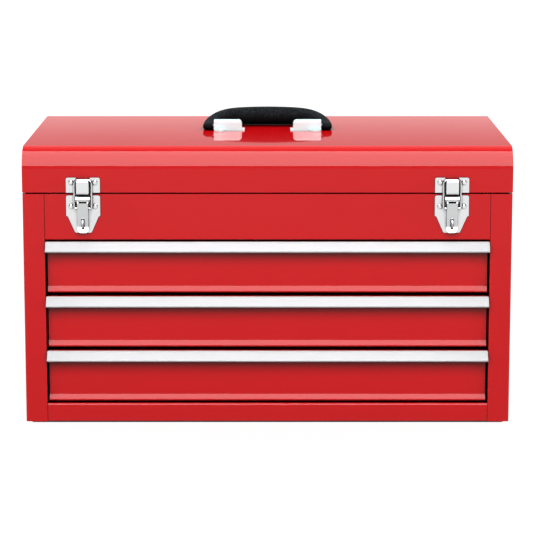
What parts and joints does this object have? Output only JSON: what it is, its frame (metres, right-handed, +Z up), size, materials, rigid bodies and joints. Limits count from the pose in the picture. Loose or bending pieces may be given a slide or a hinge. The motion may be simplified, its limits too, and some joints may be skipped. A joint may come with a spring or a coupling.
{
  "type": "portable tool chest",
  "caption": "Portable sheet-steel tool chest with a hinged lid over a top tray, draw latches, a folding handle and drawers on ball slides.",
  "frame": {"origin": "middle of the base plate's underside, on the floor", "axes": "+X to the chest's right seen from the back, that is the viewer's right facing the drawers; +Y to the back; +Z up"},
  "size_m": [0.52, 0.3188, 0.3192],
  "materials": {
    "red_paint": "gloss",
    "pull_aluminium": "satin, fine ribs",
    "bright_plate": "bright plated",
    "plain_steel": "zinc plated",
    "slide_zinc": "zinc plated",
    "ball_steel": "polished",
    "base_primer": "matt",
    "grip_rubber": "satin"
  },
  "bodies": {
    "cabinet": {"left_side_panel": "red_paint", "right_side_panel": "red_paint", "back_panel": "red_paint", "base_plate": "base_primer", "front_top_panel": "red_paint", "front_bottom_rail": "red_paint", "top_tray": "red_paint", "left_slide_uprights": "red_paint", "right_slide_uprights": "red_paint", "bottom_cabinet_members": "slide_zinc", "middle_cabinet_members": "slide_zinc", "top_cabinet_members": "slide_zinc", "cabinet_hinge_leaf": "plain_steel", "hinge_pin": "plain_steel", "cabinet_hinge_rivets": "plain_steel", "left_latch_base": "bright_plate", "right_latch_base": "bright_plate", "latch_base_rivets": "bright_plate", "latch_pivot_pins": "bright_plate", "left_padlock_staple": "bright_plate", "right_padlock_staple": "bright_plate", "lid_stay_pins": "plain_steel"},
    "lid": {"lid_shell": "red_paint", "lid_left_end": "red_paint", "lid_right_end": "red_paint", "lid_hinge_leaf": "plain_steel", "lid_hinge_rivets": "plain_steel", "left_latch_strike": "bright_plate", "right_latch_strike": "bright_plate", "latch_strike_rivets": "bright_plate", "left_handle_bracket": "bright_plate", "right_handle_bracket": "bright_plate", "handle_bracket_rivets": "bright_plate", "lid_stay_rivets": "plain_steel"},
    "handle": {"handle_grip": "grip_rubber", "handle_pivot_pins": "plain_steel"},
    "bottom_drawer": {"bottom_drawer_pan": "red_paint", "bottom_drawer_front": "red_paint", "bottom_drawer_pull": "pull_aluminium", "bottom_drawer_members": "slide_zinc"},
    "bottom_cages": {"bottom_ball_cages": "slide_zinc", "bottom_slide_balls": "ball_steel"},
    "middle_drawer": {"middle_drawer_pan": "red_paint", "middle_drawer_front": "red_paint", "middle_drawer_pull": "pull_aluminium", "middle_drawer_members": "slide_zinc"},
    "middle_cages": {"middle_ball_cages": "slide_zinc", "middle_slide_balls": "ball_steel"},
    "top_drawer": {"top_drawer_pan": "red_paint", "top_drawer_front": "red_paint", "top_drawer_pull": "pull_aluminium", "top_drawer_members": "slide_zinc"},
    "top_cages": {"top_ball_cages": "slide_zinc", "top_slide_balls": "ball_steel"},
    "left_lever": {"left_latch_lever": "bright_plate"},
    "left_bail": {"left_latch_bail": "bright_plate"},
    "left_stay": {"left_lid_stay": "plain_steel"},
    "right_lever": {"right_latch_lever": "bright_plate"},
    "right_bail": {"right_latch_bail": "bright_plate"},
    "right_stay": {"right_lid_stay": "plain_steel"}
  },
  "joints": [
    {"name": "lid_hinge", "type": "hinge", "parent": "cabinet", "child": "lid", "pos_m": [0, 0.1533, 0.25], "axis": [-1, 0, 0], "range_deg": [0, 95]},
    {"name": "handle_swing", "type": "hinge", "parent": "lid", "child": "handle", "pos_m": [0, 0.011, 0.3026], "axis": [1, 0, 0], "range_deg": [0, 165]},
    {"name": "left_lever_swing", "type": "hinge", "parent": "cabinet", "child": "left_lever", "pos_m": [-0.1954, -0.156, 0.2445], "axis": [-1, 0, 0], "range_deg": [0, 84]},
    {"name": "left_bail_swing", "type": "hinge", "parent": "left_lever", "child": "left_bail", "pos_m": [-0.1954, -0.1548, 0.2348], "axis": [-1, 0, 0], "range_deg": [-61.52, 0]},
    {"name": "right_lever_swing", "type": "hinge", "parent": "cabinet", "child": "right_lever", "pos_m": [0.1954, -0.156, 0.2445], "axis": [-1, 0, 0], "range_deg": [0, 84]},
    {"name": "right_bail_swing", "type": "hinge", "parent": "right_lever", "child": "right_bail", "pos_m": [0.1954, -0.1548, 0.2348], "axis": [-1, 0, 0], "range_deg": [-61.52, 0]},
    {"name": "bottom_drawer_slide", "type": "slide", "parent": "cabinet", "child": "bottom_drawer", "axis": [0, -1, 0], "range_m": [0, 0.185]},
    {"name": "bottom_cage_roll", "type": "slide", "parent": "cabinet", "child": "bottom_cages", "axis": [0, -1, 0], "range_m": [0, 0.0925]},
    {"name": "middle_drawer_slide", "type": "slide", "parent": "cabinet", "child": "middle_drawer", "axis": [0, -1, 0], "range_m": [0, 0.185]},
    {"name": "middle_cage_roll", "type": "slide", "parent": "cabinet", "child": "middle_cages", "axis": [0, -1, 0], "range_m": [0, 0.0925]},
    {"name": "top_drawer_slide", "type": "slide", "parent": "cabinet", "child": "top_drawer", "axis": [0, -1, 0], "range_m": [0, 0.185]},
    {"name": "top_cage_roll", "type": "slide", "parent": "cabinet", "child": "top_cages", "axis": [0, -1, 0], "range_m": [0, 0.0925]},
    {"name": "left_stay_swing", "type": "hinge", "parent": "lid", "child": "left_stay", "pos_m": [-0.256, 0.12915, 0.25647], "axis": [-1, 0, 0], "range_deg": [-47.7, 0]},
    {"name": "right_stay_swing", "type": "hinge", "parent": "lid", "child": "right_stay", "pos_m": [0.256, 0.12915, 0.25647], "axis": [-1, 0, 0], "range_deg": [-47.7, 0]}
  ],
  "couplings": [
    {"joint": "left_bail_swing", "follows": "left_lever_swing", "ratio": -0.73},
    {"joint": "right_bail_swing", "follows": "right_lever_swing", "ratio": -0.73},
    {"joint": "bottom_cage_roll", "follows": "bottom_drawer_slide", "ratio": 0.5},
    {"joint": "middle_cage_roll", "follows": "middle_drawer_slide", "ratio": 0.5},
    {"joint": "top_cage_roll", "follows": "top_drawer_slide", "ratio": 0.5},
    {"joint": "left_stay_swing", "follows": "lid_hinge", "ratio": -0.5},
    {"joint": "right_stay_swing", "follows": "lid_hinge", "ratio": -0.5}
  ]
}
